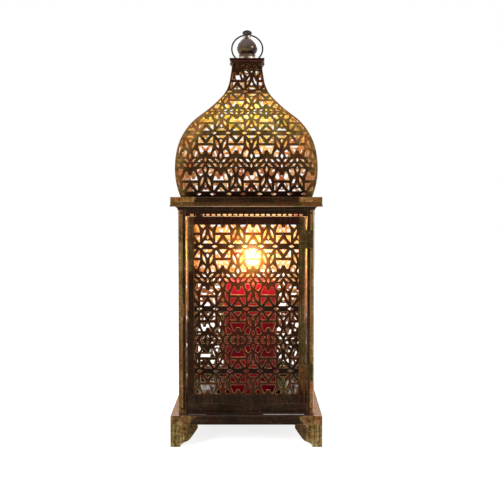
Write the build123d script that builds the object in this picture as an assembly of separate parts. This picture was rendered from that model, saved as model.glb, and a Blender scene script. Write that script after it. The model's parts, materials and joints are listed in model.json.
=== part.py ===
"""Candle lantern: square filigree house with a hinged door, an onion dome, a turned finial and a ring bail.

Millimetres, +Z up. The origin is the centre of the footprint on the table, and the door faces -Y.
"""
import math
import os

from build123d import *

os.makedirs("parts", exist_ok=True)

# ---- overall stack, bottom to top -------------------------------------------------------------
PLINTH_W = 185.0          # across the plinth and the cornice
BODY_W = 166.6            # across the corner posts
FOOT_H = 27.4
TRAY_H = 11.1
BODY_H = 254.7
CORNICE_H = 11.7
DOME_H = 175.7
LID_H = 6.0

Z_DECK = FOOT_H + TRAY_H
Z_CORNICE = Z_DECK + BODY_H
Z_DOME = Z_CORNICE + CORNICE_H
Z_NECK = Z_DOME + DOME_H
Z_LID = Z_NECK + LID_H

# ---- sheet gauges and clearances --------------------------------------------------------------
PLATE_T = 1.4             # plinth tray and cornice
POST_T = 1.2              # corner angles and rails
FRAME_T = 2.4             # door frame and fixed frames
SHEET_T = 1.0             # flat filigree
DOME_T = 1.2              # dome filigree
FOOT_T = 2.6
SEAT_GAP = 0.05           # between parts that are fitted inside one another
RUN_GAP = 0.05            # radial, between a pin and the knuckle that turns on it
SHANK_GAP = 0.05          # radial, round a rivet shank

# ---- feet -------------------------------------------------------------------------------------
FOOT_TAB_H = 6.5
FOOT_TAB_W = 30.0
FOOT_BRACKET = [(33.3, 23.5), (29.5, 17.6), (25.1, 11.6), (21.4, 7.7), (16.8, 5.7), (13.9, 3.9), (11.9, 0.0)]

# ---- floor, pan and candle --------------------------------------------------------------------
FLOOR_GAP = 0.55          # between the raised floor and the sill's flange
FLOOR_H = 7.5
PAN_MARGIN = 8.5          # from the candle's side to the pan's rim
PAN_RIM_H = 5.0
PAN_T = 1.2
SPIKE_R = 1.7
SPIKE_H = 24.0
CANDLE_R = 36.5
CANDLE_H = 146.0
CANDLE_X = 4.0            # the pan and its candle stand a little to the right of the middle
PAN_R = CANDLE_R + PAN_MARGIN
POOL_DEPTH = 4.0
WALL_OF_WAX = 5.0
WICK_R = 0.9
WICK_SUNK = 12.0
WICK_OUT = 9.0

# ---- posts, rails and mouldings ---------------------------------------------------------------
POST_FLANGE = 8.8
SILL_H = 11.2
LINTEL_H = 11.9
RAIL_FLANGE = 8.0
LINTEL_SLOT = (4.6, 2.2)  # length and height
LINTEL_SLOT_PITCH = 6.7
LINTEL_SLOT_UP = 1.9      # slot's centre above the lintel's lower edge
LINTEL_SLOT_END = 5.0     # slots stop this far inside the door's width
CAVETTO_H = 4.2
CAVETTO_OUT = 3.0
CORNICE_FLANGE = 16.0
CORNICE_SETBACK = 0.5     # face of the cornice behind its own bead
BEAD_H = 2.3

# ---- door and fixed frames --------------------------------------------------------------------
DOOR_SIDE_GAP = 1.9       # between the door and each front post
DOOR_LOW_GAP = 0.8        # above the sill
DOOR_TOP_GAP = 0.4        # below the lintel
DOOR_STILE = 8.4
DOOR_LOW_RAIL = 11.2
DOOR_TOP_RAIL = 9.9
SHEET_LAP = 3.3           # how far a filigree sheet runs behind its frame
SHEET_RIVET_IN = 1.75     # from a window's edge to its rivets
STILE_RIVET_PITCH = 66.0  # between the two rivets in the middle of a stile
RAIL_RIVET_PITCH = 37.5
FIXED_STILE = 5.0         # hidden behind the corner posts
FIXED_RAIL = 5.0

DOOR_W = BODY_W - 2 * POST_FLANGE - 2 * DOOR_SIDE_GAP
DOOR_Z0 = Z_DECK + SILL_H + DOOR_LOW_GAP
DOOR_Z1 = Z_CORNICE - LINTEL_H - DOOR_TOP_GAP
FIXED_HALF = BODY_W / 2 - POST_T - FRAME_T - 2 * SEAT_GAP
FIXED_Z0 = Z_DECK + SILL_H + SEAT_GAP
FIXED_Z1 = Z_CORNICE - LINTEL_H - SEAT_GAP
# each window as (half width, sill height, head height)
DOOR_WINDOW = (DOOR_W / 2 - DOOR_STILE, DOOR_Z0 + DOOR_LOW_RAIL, DOOR_Z1 - DOOR_TOP_RAIL)
FIXED_WINDOW = (FIXED_HALF - FIXED_STILE, FIXED_Z0 + FIXED_RAIL, FIXED_Z1 - FIXED_RAIL)

# ---- hinges, latch and rivets -----------------------------------------------------------------
HINGE_H = 21.5
HINGE_LEAF_W = 6.1
HINGE_LEAF_T = 0.8
KNUCKLE_R = 1.7
KNUCKLE_GAP = 0.2
KNUCKLE_OFF = 0.02        # between a knuckle and the face of the body
LEAF_OFF = 0.3            # between a knuckle and the flat of its leaf
PIN_R = 0.9
PIN_HEAD_R = 1.5
PIN_HEAD_H = 0.8
HINGE_FROM_TOP = 27.5     # of the door, to the middle of the upper hinge
HINGE_FROM_FOOT = 39.0
HINGE_AXIS_X = DOOR_W / 2 + DOOR_SIDE_GAP / 2
HINGE_UPPER_Z = DOOR_Z1 - HINGE_FROM_TOP
HINGE_LOWER_Z = DOOR_Z0 + HINGE_FROM_FOOT
HINGE_RIVET_OUT = 4.7     # from the pin's axis
HINGE_RIVET_PITCH = 14.0
RIVET_R = 0.75
RIVET_HEAD_R = 1.4
RIVET_HEAD_H = 0.8
RIVET_TAIL_H = 0.4
LATCH_IN = 5.1            # from the post's outer face to the latch's pivot
LATCH_X = -BODY_W / 2 + LATCH_IN
LATCH_Z = (DOOR_Z0 + DOOR_Z1) / 2
LATCH_L = 17.5
LATCH_W = 4.8
LATCH_T = 1.0
LATCH_PIN_R = 1.0
LATCH_HEAD_R = 2.0
LATCH_COLLAR_H = 0.3
LATCH_HEAD_H = 0.8
LATCH_RUN = 0.08          # along the pivot, between the lever and the head
LATCH_TAIL_H = 0.5
STOP_GAP = 0.3            # between a stop and the closed door
STOP_W = 9.0
STOP_DROP = 5.0           # how far a stop reaches behind the door
STOP_IN = 10.0            # from the door's latch side
STOP_PAD = 3.5
STOP_PAD_IN = 4.0         # from the cornice, or from the deck, to the end of a stop's pad

# ---- onion dome -------------------------------------------------------------------------------
DOME_SETBACK = 11.8       # foot of the dome behind the cornice's bead
DOME_FOOT_HALF = PLINTH_W / 2 - DOME_SETBACK
# height above the dome's foot and inward lean of the sheet, in degrees from upright, at the arcs' ends
DOME_STATIONS = [(0.0, -20.5), (34.0, 0.0), (53.8, 9.0), (102.9, 48.9), (129.5, 38.6), (151.8, 10.0),
                 (DOME_H, 6.0)]
HIP_MARGIN = 2.4          # solid strip beside each hip
HIP_GAP = 0.05            # each sheet stops this far short of the mitre, along Y
FOOT_MARGIN = 2.0         # solid strip along the foot of a sheet
HEAD_MARGIN = 1.2

# ---- lid, bail and finial ---------------------------------------------------------------------
LID_OVERHANG = 0.4        # of the lid's foot past the dome's neck
LID_FLARE = 3.2
LID_BRIM_H = 1.0
LID_WALL = 1.2
LID_SKIN = 1.6
SLEEVE_H = 3.5
SLEEVE_T = 1.0
SLEEVE_ABOVE = 0.9
BAIL_WIRE_R = 1.0
BAIL_R = 20.8
BAIL_LEG_IN = 6.8         # from the lid's brim
BAIL_PIVOT_BELOW = 3.5    # pivot axis below the top of the lid
BAIL_BEND_R = 1.8
BAIL_LEG_OUT = 6.1        # straight leg above the lid, before the ring starts
BAIL_LEAN = 17.0          # how far it leans back at rest, in degrees from upright
BAIL_FALL = 60.0          # how far it leans at the back ends of its slots
BAIL_TOP_GAP = 0.4        # between the ring's wire and the finial's cap, when it is pushed forward
BAIL_END_OUT = 2.0
SLOT_SLACK = 0.4
STUD_R = 2.4
STUD_OUT = 1.2            # below the nut
NUT_AF = 8.0
NUT_H = 3.2
# radius and height above the lid of the turned finial
FINIAL_FOOT = [(0.0, 0.0), (12.0, 0.0), (12.0, 1.4), (11.3, 2.4), (10.9, 6.0), (11.2, 8.2), (10.3, 9.4)]
FINIAL_BULB = [(10.3, 9.4), (12.6, 12.4), (13.7, 16.8), (12.5, 22.0), (8.9, 27.3), (5.6, 31.0)]
FINIAL_CAP = [(5.6, 31.0), (5.3, 33.4), (5.9, 36.0), (6.5, 38.2), (4.6, 40.6), (0.0, 41.5)]

# ---- filigree: one repeat is mirrored about its A column and its B column ------------------------
REPEAT = 37.25            # from one A column to the next
ROW = 38.5                # from a band to the next line of stars
CELL = 1.229              # scale of the drawing below, across; its rows are ROW_CELLS apart
ROW_CELLS = 31.1
BAND_DIAMOND = (8.15, 2.8, 1.5)
ON_A = [
    [(-3.6, 3.0), (3.6, 3.0), (0.0, 7.2)],
    [(-7.4, 14.0), (7.4, 14.0), (6.8, 16.5), (4.6, 22.2), (2.8, 22.2), (1.6, 18.6), (-1.6, 18.6),
     (-2.8, 22.2), (-4.6, 22.2), (-6.8, 16.5)],
    [(0.0, 26.2), (1.2, 28.2), (0.0, 30.4), (-1.2, 28.2)],
]
ON_B = [
    [(-5.0, 3.0), (5.0, 3.0), (2.4, 6.1), (0.0, 5.3), (-2.4, 6.1)],
    [(0.0, 6.7), (1.4, 9.0), (0.0, 11.3), (-1.4, 9.0)],
    [(0.0, 21.6), (1.4, 24.4), (0.0, 27.2), (-1.4, 24.4)],
]
BOTH_SIDES = [
    [(6.6, 3.9), (7.3, 4.4), (7.3, 11.0), (1.8, 11.0)],
    [(3.0, 27.5), (5.6, 27.7), (7.6, 30.3), (5.0, 30.1)],
    [(9.4, 27.2), (12.0, 27.6), (13.8, 30.3), (11.4, 30.0)],
    [(10.0, 8.0), (12.0, 10.6), (13.1, 14.0), (13.1, 17.0), (11.1, 14.4), (10.0, 11.0)],
    [(10.95, 25.5), (6.95, 24.8), (7.55, 20.8), (10.55, 18.0), (12.75, 20.1)],
]
DOOR_PHASE = 8.3          # where the first band's A column stands
DOOR_FIRST_BAND = 26.8    # below the window's head
DOME_PHASE = 6.1
DOME_FIRST_BAND = 3.9     # along the sheet, above its foot
SMALLEST_HOLE = 2.0       # square millimetres; a clipped scrap below this stays solid

QUARTER_TURNS = {"front": 0, "right": 90, "back": 180, "left": 270}


def save(shape, node, flat=False):
    """Write one node's solid, or group of solids, as its own file; a flat sheet needs no surface curves."""
    shape.label = node
    export_step(shape, "parts/" + node + ".step", write_pcurves=not flat)


def block(x0, x1, y0, y1, z0, z1):
    """A plain box between two corners."""
    return Pos((x0 + x1) / 2, (y0 + y1) / 2, (z0 + z1) / 2) * Box(x1 - x0, y1 - y0, z1 - z0)


def square_ring(half_out, half_in, z0, z1):
    """A square tube round the Z axis."""
    outer = block(-half_out, half_out, -half_out, half_out, z0, z1)
    inner = block(-half_in, half_in, -half_in, half_in, z0 - 1, z1 + 1)
    return outer - inner


def rod(x, y, z, radius, length, axis="z"):
    """A cylinder starting at a point and running along +X, +Y or +Z."""
    turn = {"x": (0, 90, 0), "y": (-90, 0, 0), "z": (0, 0, 0)}[axis]
    cyl = Cylinder(radius, length, align=(Align.CENTER, Align.CENTER, Align.MIN))
    return Pos(x, y, z) * (Rotation(*turn) * cyl)


def group(solids):
    """Separate solids that share one node."""
    return Compound(children=[s.solid() for s in solids])


def face_of(points):
    """A flat face in the XY plane from its corners."""
    return make_face(Polyline(*[Vector(x, y) for x, y in points], close=True).edges()).face()


def rivet(x, y, z, grip, axis="y"):
    """A round-head rivet: head towards -Y (or -X when axis is x), shank running through grip."""
    cup = math.hypot(RIVET_HEAD_R, RIVET_HEAD_H)
    sphere_r = cup * cup / (2 * RIVET_HEAD_H)
    head = Pos(0, 0, RIVET_HEAD_H - sphere_r) * Sphere(sphere_r)
    head = head & block(-5, 5, -5, 5, 0, 5)
    shank = rod(0, 0, -grip, RIVET_R, grip)
    tail = rod(0, 0, -grip - RIVET_TAIL_H, RIVET_HEAD_R - 0.1, RIVET_TAIL_H)
    body = head + shank + tail
    turn = Rotation(90, 0, 0) if axis == "y" else Rotation(0, -90, 0)
    return Pos(x, y, z) * (turn * body)


def rivet_hole(x, y, z, depth, axis="y"):
    """The clearance hole for a rivet whose head sits at the point."""
    return rod(x, y, z, RIVET_R + SHANK_GAP, depth, axis)


# ---- filigree pattern -------------------------------------------------------------------------
def band_rows(first, step, last, phase):
    """Height and A column of each band from first until past last; A and B change places at each."""
    rows = [(first, phase)]
    while abs(rows[-1][0] + step / 2 - first) < abs(last - first):
        rows.append((rows[-1][0] + step, phase + REPEAT / 2))
    return rows


def openings(rows, v_low, v_high, reach):
    """Corner lists of every opening, in millimetres along (u, v), for bands of stars between two heights."""
    tall = ROW / ROW_CELLS
    found = []
    for band, phase in rows:
        first = math.floor((-reach - phase) / REPEAT) - 1
        last = math.ceil((reach - phase) / REPEAT) + 1
        for k in range(first, last + 1):
            a = phase + k * REPEAT
            b = a + REPEAT / 2
            x, du, dv = BAND_DIAMOND
            for side in (-1, 1):
                c = a + side * x * CELL
                found.append([(c - du * CELL, band), (c, band - dv * CELL), (c + du * CELL, band),
                              (c, band + dv * CELL)])
            for up in (-1, 1):
                for poly in ON_A:
                    found.append([(a + u * CELL, band + up * v * tall) for u, v in poly])
                for poly in ON_B:
                    found.append([(b + u * CELL, band + up * v * tall) for u, v in poly])
                for side in (-1, 1):
                    for poly in BOTH_SIDES:
                        found.append([(a + side * u * CELL, band + up * v * tall) for u, v in poly])
    kept = []
    for poly in found:
        us = [p[0] for p in poly]
        vs = [p[1] for p in poly]
        if max(us) > -reach and min(us) < reach and max(vs) > v_low and min(vs) < v_high:
            kept.append(poly)
    return kept


def clip(polys, inside, outline):
    """Faces for the openings; the ones that cross the outline are cut back to it."""
    faces = []
    for poly in polys:
        hits = [inside(u, v) for u, v in poly]
        if all(hits):
            faces.append(face_of(poly))
        elif any(hits) or crosses_corner(poly, outline):
            cut = face_of(poly) & outline
            parts = [] if cut is None else cut.faces()
            faces.extend(f for f in parts if f.area > SMALLEST_HOLE)
    return faces


def crosses_corner(poly, outline):
    """True where an opening overlaps the outline though none of its corners is inside."""
    box = outline.bounding_box()
    us = [p[0] for p in poly]
    vs = [p[1] for p in poly]
    return max(us) > box.min.X and min(us) < box.max.X and max(vs) > box.min.Y and min(vs) < box.max.Y


def flat_filigree(window):
    """The pierced sheet behind a window, in the XZ plane: front face at y = 0, back at y = SHEET_T."""
    half, z0, z1 = window
    outline = face_of([(-half, z0), (half, z0), (half, z1), (-half, z1)])
    rows = band_rows(DOOR_WINDOW[2] - DOOR_FIRST_BAND, -2 * ROW, z0, DOOR_PHASE)
    polys = openings(rows, z0, z1, half)
    holes = clip(polys, lambda u, v: abs(u) < half and z0 < v < z1, outline)
    edge = half + SHEET_LAP
    low = z0 - SHEET_LAP
    high = z1 + SHEET_LAP
    blank = face_of([(-edge, low), (edge, low), (edge, high), (-edge, high)])
    sheet = Face(blank.outer_wire(), [f.outer_wire() for f in holes])
    solid = extrude(sheet, SHEET_T, dir=(0, 0, 1))
    return Pos(0, SHEET_T, 0) * (Rotation(90, 0, 0) * solid)


# ---- dome profile -----------------------------------------------------------------------------
def dome_arcs():
    """Each arc of the dome's outer profile: start point, radius, start lean and end lean."""
    arcs = []
    half = DOME_FOOT_HALF
    for (up0, lean0), (up1, lean1) in zip(DOME_STATIONS, DOME_STATIONS[1:]):
        a0 = math.radians(lean0)
        a1 = math.radians(lean1)
        radius = (up1 - up0) / (math.sin(a1) - math.sin(a0))
        arcs.append((half, Z_DOME + up0, radius, a0, a1))
        half = half + radius * (math.cos(a1) - math.cos(a0))
    return arcs


def on_arc(arc, lean, inward=0.0):
    """The point of an arc where the sheet leans by this angle, set in from the outer face."""
    half, z0, radius, a0, _ = arc
    h = half + radius * (math.cos(lean) - math.cos(a0)) - inward * math.cos(lean)
    z = z0 + radius * (math.sin(lean) - math.sin(a0)) - inward * math.sin(lean)
    return h, z


def along_dome(arcs, s):
    """Half width and height of the outer face at a distance along the sheet from its foot."""
    for arc in arcs:
        _, _, radius, a0, a1 = arc
        length = radius * (a1 - a0)
        if s <= length or arc is arcs[-1]:
            lean = a0 + s / radius
            return on_arc(arc, min(max(lean, min(a0, a1)), max(a0, a1)))
        s = s - length
    return None


def dome_sheet_blank(arcs):
    """One unpierced side of the dome, facing -Y, mitred at its hips."""
    outer = []
    inner = []
    for arc in arcs:
        a0, a1 = arc[3], arc[4]
        mid = (a0 + a1) / 2
        pts_out = [on_arc(arc, a) for a in (a0, mid, a1)]
        pts_in = [on_arc(arc, a, DOME_T) for a in (a0, mid, a1)]
        outer.append(ThreePointArc(*[Vector(0, -h, z) for h, z in pts_out]))
        inner.append(ThreePointArc(*[Vector(0, -h, z) for h, z in pts_in]))
    foot = Line(outer[0] @ 0, inner[0] @ 0)
    head = Line(outer[-1] @ 1, inner[-1] @ 1)
    section = make_face([e.edge() for e in outer + inner + [foot, head]])
    wide = DOME_FOOT_HALF + 12
    band = extrude(section, wide, dir=(1, 0, 0), both=True)
    wedge_face = face_of([(0, -HIP_GAP), (-wide + HIP_GAP, -wide), (wide - HIP_GAP, -wide)])
    wedge = Pos(0, 0, Z_DOME) * extrude(wedge_face, Z_NECK - Z_DOME, dir=(0, 0, 1))
    return band & wedge


def dome_panel():
    """One pierced side of the dome."""
    arcs = dome_arcs()
    total = sum(arc[2] * (arc[4] - arc[3]) for arc in arcs)
    steps = 120
    top = total - HEAD_MARGIN
    levels = [FOOT_MARGIN + (top - FOOT_MARGIN) * i / steps for i in range(steps + 1)]
    right = [(along_dome(arcs, s)[0] - HIP_MARGIN, s) for s in levels]
    outline = face_of(right + [(-u, s) for u, s in reversed(right)])

    def inside(u, s):
        return FOOT_MARGIN < s < top and abs(u) < along_dome(arcs, s)[0] - HIP_MARGIN

    rows = band_rows(DOME_FIRST_BAND, 2 * ROW, total - SLEEVE_H, DOME_PHASE)
    polys = openings(rows, FOOT_MARGIN, top, max(u for u, _ in right))
    tools = []
    for flat in clip(polys, inside, outline):
        bent = [(u, along_dome(arcs, s)[1]) for u, s in ordered(flat)]
        lifted = face_of(bent)
        prism = extrude(lifted, PLINTH_W, dir=(0, 0, 1))
        tools.append(Rotation(90, 0, 0) * prism)
    blank = dome_sheet_blank(arcs)
    return blank - tools


def ordered(flat):
    """Corners of a face in the order they run round it."""
    edges = flat.outer_wire().order_edges()
    return [((e @ 0).X, (e @ 0).Y) for e in edges]


# ---- plinth and feet --------------------------------------------------------------------------
def foot():
    """Front-left bracket foot: two mitred wings with a tab behind the tray's skirt."""
    top_u = FOOT_BRACKET[0][0]
    curve = Spline(*[Vector(u, z) for u, z in FOOT_BRACKET])
    edge = [Line(Vector(0, 0), Vector(0, FOOT_H)), Line(Vector(0, FOOT_H), Vector(top_u, FOOT_H)),
            Line(Vector(top_u, FOOT_H), Vector(*FOOT_BRACKET[0])), curve,
            Line(Vector(*FOOT_BRACKET[-1]), Vector(0, 0))]
    wing = extrude(make_face([e.edge() for e in edge]), FOOT_T, dir=(0, 0, 1))
    half = PLINTH_W / 2
    front = Pos(-half, -half + FOOT_T, 0) * (Rotation(90, 0, 0) * wing)
    side = mirror(front, Plane(origin=(0, 0, 0), z_dir=(1, -1, 0)))
    tab_out = half - PLATE_T - SEAT_GAP
    tab_in = half - FOOT_T
    far = half - FOOT_TAB_W
    tab = block(-tab_out, -far, -tab_out, -tab_in, FOOT_H - 1, FOOT_H + FOOT_TAB_H)
    tab += block(-tab_out, -tab_in, -tab_out, -far, FOOT_H - 1, FOOT_H + FOOT_TAB_H)
    return front + side + tab


def plinth_tray():
    """Folded tray with a down-turned skirt."""
    half = PLINTH_W / 2
    deck = block(-half, half, -half, half, Z_DECK - PLATE_T, Z_DECK)
    deck += square_ring(half, half - PLATE_T, FOOT_H, Z_DECK - PLATE_T)
    rim = deck.edges().filter_by(GeomType.LINE).group_by(Axis.Z)[-1]
    rim = [e for e in rim if max(abs(e.center().X), abs(e.center().Y)) > half - 0.01]
    return fillet(rim, 0.6)


def cornice():
    """Open box section with a bead round its lower edge."""
    half = PLINTH_W / 2
    face = half - CORNICE_SETBACK
    hole = face - CORNICE_FLANGE
    ring = square_ring(face, face - PLATE_T, Z_CORNICE, Z_DOME)
    ring += square_ring(face, hole, Z_CORNICE, Z_CORNICE + PLATE_T)
    ring += square_ring(face, hole, Z_DOME - PLATE_T, Z_DOME)
    bead = square_ring(half, face - 0.3, Z_CORNICE, Z_CORNICE + BEAD_H)
    edges = [e for e in bead.edges() if max(abs(e.center().X), abs(e.center().Y)) > half - 0.01]
    edges = [e for e in edges if abs(e.length - PLINTH_W) < 0.01]
    return ring + chamfer(edges, 0.35)


def mitred_ring(section):
    """Four mitred lengths of a section given as (distance out, height) corners, joined into one."""
    far = max(p[0] for p in section) + 5
    bar = extrude(make_face(Polyline(*[Vector(0, -h, z) for h, z in section], close=True).edges()), far,
                  dir=(1, 0, 0), both=True)
    wedge = extrude(face_of([(0, 0), (-far, -far), (far, -far)]), Z_LID, dir=(0, 0, 1))
    side = bar & wedge
    ring = side
    for turn in (90, 180, 270):
        ring += Rotation(0, 0, turn) * side
    return ring


def cavetto():
    """Hollow moulding that carries the body out to the cornice."""
    face = BODY_W / 2 + SEAT_GAP
    foot_w = 0.7
    section = [(face, Z_CORNICE - CAVETTO_H), (face + foot_w, Z_CORNICE - CAVETTO_H)]
    run = CAVETTO_OUT - foot_w
    rise = CAVETTO_H - 0.8
    for i in range(1, 7):
        a = math.radians(90 * i / 6)
        section.append((face + foot_w + run * (1 - math.cos(a)), Z_CORNICE - CAVETTO_H + rise * math.sin(a)))
    section += [(face + CAVETTO_OUT, Z_CORNICE), (face, Z_CORNICE)]
    return mitred_ring(section)


# ---- body frame -------------------------------------------------------------------------------
def corner_post():
    """Front-left angle, with its rivet holes."""
    half = BODY_W / 2
    post = block(-half, -half + POST_FLANGE, -half, -half + POST_T, Z_DECK, Z_CORNICE)
    post += block(-half, -half + POST_T, -half, -half + POST_FLANGE, Z_DECK, Z_CORNICE)
    return post


POST_RIVET_Z = (Z_DECK + SILL_H / 2, Z_CORNICE - (CAVETTO_H + LINTEL_H) / 2)
POST_RIVET_IN = 4.0       # from the post's outer face to the rivet


def post_rivet_places():
    """Where the front-left post is riveted to the rails: (x, y, z, axis)."""
    half = BODY_W / 2
    places = []
    for z in POST_RIVET_Z:
        places.append((-half + POST_RIVET_IN, -half, z, "y"))
        places.append((-half, -half + POST_RIVET_IN, z, "x"))
    return places


def rail_ring(z0, z1, flange_at_top):
    """Sill or lintel: an angle ring inside the posts."""
    out = BODY_W / 2 - POST_T - SEAT_GAP
    ring = square_ring(out, out - POST_T, z0, z1)
    if flange_at_top:
        ring += square_ring(out, out - RAIL_FLANGE, z1 - POST_T, z1)
    else:
        ring += square_ring(out, out - RAIL_FLANGE, z0, z0 + POST_T)
    return ring


def lintel_slots():
    """The row of vent slots through each side of the lintel, just above the door."""
    length, height = LINTEL_SLOT
    z = Z_CORNICE - LINTEL_H + LINTEL_SLOT_UP
    bar = Rotation(90, 0, 0) * extrude(SlotOverall(length, height), BODY_W, dir=(0, 0, 1), both=True)
    each_way = int((DOOR_W / 2 - LINTEL_SLOT_END) / LINTEL_SLOT_PITCH)
    slots = [Pos(i * LINTEL_SLOT_PITCH, 0, z) * bar for i in range(-each_way, each_way + 1)]
    return slots + [Rotation(0, 0, 90) * slot for slot in slots]


def picture_frame(half, z0, z1, window):
    """A flat bar frame round a window: front face at y = 0, back at y = FRAME_T."""
    win, win_z0, win_z1 = window
    frame = block(-half, half, 0, FRAME_T, z0, z1)
    frame -= block(-win, win, -1, FRAME_T + 1, win_z0, win_z1)
    lip = [e for e in frame.edges() if abs(e.center().Y) < 0.01]
    return chamfer(lip, 0.35)


def stile_rivets(window):
    """Four rivets down each stile of a window: (x, z)."""
    win, z0, z1 = window
    middle = (z0 + z1) / 2
    zs = (z0 - SHEET_RIVET_IN, middle - STILE_RIVET_PITCH / 2, middle + STILE_RIVET_PITCH / 2,
          z1 + SHEET_RIVET_IN)
    return [(side * (win + SHEET_RIVET_IN), z) for side in (-1, 1) for z in zs]


def rail_rivets(window):
    """Four rivets along each rail of a window: (x, z)."""
    z0, z1 = window[1:]
    xs = [(i - 1.5) * RAIL_RIVET_PITCH for i in range(4)]
    return [(x, z) for x in xs for z in (z0 - SHEET_RIVET_IN, z1 + SHEET_RIVET_IN)]


# ---- hinges -----------------------------------------------------------------------------------
def knuckles(zc):
    """Height ranges of the lower, middle and upper knuckle of a hinge."""
    low = zc - HINGE_H / 2
    each = (HINGE_H - 2 * KNUCKLE_GAP) / 3
    spans = []
    for i in range(3):
        start = low + i * (each + KNUCKLE_GAP)
        spans.append((start, start + each))
    return spans


HINGE_Y = -BODY_W / 2 - KNUCKLE_R - KNUCKLE_OFF


def hinge_leaf(zc, side, owned):
    """A leaf with the knuckles it owns; side is -1 on the door and +1 on the post."""
    face = -BODY_W / 2
    near = HINGE_AXIS_X + side * (KNUCKLE_R + LEAF_OFF)
    tip = near + side * HINGE_LEAF_W
    low = zc - HINGE_H / 2
    leaf = block(min(near, tip), max(near, tip), face - HINGE_LEAF_T, face, low, low + HINGE_H)
    corners = [e for e in leaf.edges().filter_by(Axis.Y) if abs(e.center().X - tip) < 0.01]
    leaf = fillet(corners, 1.2)
    for i in owned:
        z0, z1 = knuckles(zc)[i]
        x0, x1 = sorted((HINGE_AXIS_X + side * PIN_R, near + side * 0.1))
        leaf += block(x0, x1, face - HINGE_LEAF_T, face - 0.05, z0, z1)
        leaf += rod(HINGE_AXIS_X, HINGE_Y, z0, KNUCKLE_R, z1 - z0)
    gap = RUN_GAP if side < 0 else SEAT_GAP / 2
    leaf -= rod(HINGE_AXIS_X, HINGE_Y, low - 1, PIN_R + gap, HINGE_H + 2)
    for dz in (-HINGE_RIVET_PITCH / 2, HINGE_RIVET_PITCH / 2):
        leaf -= rivet_hole(HINGE_AXIS_X + side * HINGE_RIVET_OUT, face - 2, zc + dz, 4)
    return leaf


def hinge_pin(zc):
    """Pin with a head at each end."""
    low = zc - HINGE_H / 2 - KNUCKLE_GAP / 2
    length = HINGE_H + KNUCKLE_GAP
    pin = rod(HINGE_AXIS_X, HINGE_Y, low, PIN_R, length)
    pin += rod(HINGE_AXIS_X, HINGE_Y, low - PIN_HEAD_H, PIN_HEAD_R, PIN_HEAD_H)
    pin += rod(HINGE_AXIS_X, HINGE_Y, low + length, PIN_HEAD_R, PIN_HEAD_H)
    return pin


def hinge_rivet_places(side):
    """Rivets of both hinges on one side: (x, z)."""
    x = HINGE_AXIS_X + side * HINGE_RIVET_OUT
    return [(x, zc + dz) for zc in (HINGE_LOWER_Z, HINGE_UPPER_Z)
            for dz in (-HINGE_RIVET_PITCH / 2, HINGE_RIVET_PITCH / 2)]


# ---- bail -------------------------------------------------------------------------------------
NECK_HALF = on_arc(dome_arcs()[-1], math.radians(DOME_STATIONS[-1][1]))[0]
LID_FOOT_HALF = NECK_HALF + LID_OVERHANG
LID_TOP_HALF = LID_FOOT_HALF + LID_FLARE
BAIL_Z = Z_LID - BAIL_PIVOT_BELOW
BAIL_LEG_X = LID_TOP_HALF - BAIL_LEG_IN
BAIL_LEG_TOP = BAIL_PIVOT_BELOW + BAIL_LEG_OUT
BAIL_CENTRE = BAIL_LEG_TOP + math.sqrt(BAIL_R ** 2 - BAIL_LEG_X ** 2)
FINIAL_CAP_R = max(r for r, _ in FINIAL_CAP)
BAIL_TOP_Y = FINIAL_CAP_R + BAIL_WIRE_R + BAIL_TOP_GAP
BAIL_FORWARD = math.degrees(math.asin(BAIL_TOP_Y / (BAIL_CENTRE + BAIL_R)))


def bail_ring():
    """Wire ring whose two ends drop through the lid and turn outwards into its walls."""
    leg_top = Vector(BAIL_LEG_X, BAIL_LEG_TOP)
    bend_top = Vector(BAIL_LEG_X, BAIL_BEND_R)
    bend_mid = bend_top + Vector(1 - math.cos(math.pi / 4), -math.sin(math.pi / 4)) * BAIL_BEND_R
    bend_end = Vector(BAIL_LEG_X + BAIL_BEND_R, 0)
    right = [Line(leg_top, bend_top),
             ThreePointArc(bend_top, bend_mid, bend_end),
             Line(bend_end, Vector(lid_half_at(BAIL_Z) + BAIL_END_OUT, 0))]
    loop = ThreePointArc(leg_top, Vector(0, BAIL_CENTRE + BAIL_R), Vector(-BAIL_LEG_X, BAIL_LEG_TOP))
    wire = sweep(Plane(origin=loop @ 0, z_dir=loop % 0) * Circle(BAIL_WIRE_R), path=loop)
    leg_path = Wire([e.edge() for e in right])
    leg = sweep(Plane(origin=leg_path @ 0, z_dir=leg_path % 0) * Circle(BAIL_WIRE_R), path=leg_path)
    elbow = Pos(BAIL_LEG_X, BAIL_LEG_TOP, 0) * Sphere(BAIL_WIRE_R)
    half = leg + elbow
    flat = wire + half + mirror(half, Plane.YZ)
    return Pos(0, 0, BAIL_Z) * (Rotation(90 - BAIL_LEAN, 0, 0) * flat)


def lid_half_at(z):
    """Half width of the lid's outer face at a height."""
    share = min(1.0, (z - Z_NECK) / (LID_H - LID_BRIM_H))
    return LID_FOOT_HALF + (LID_TOP_HALF - LID_FOOT_HALF) * share


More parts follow.
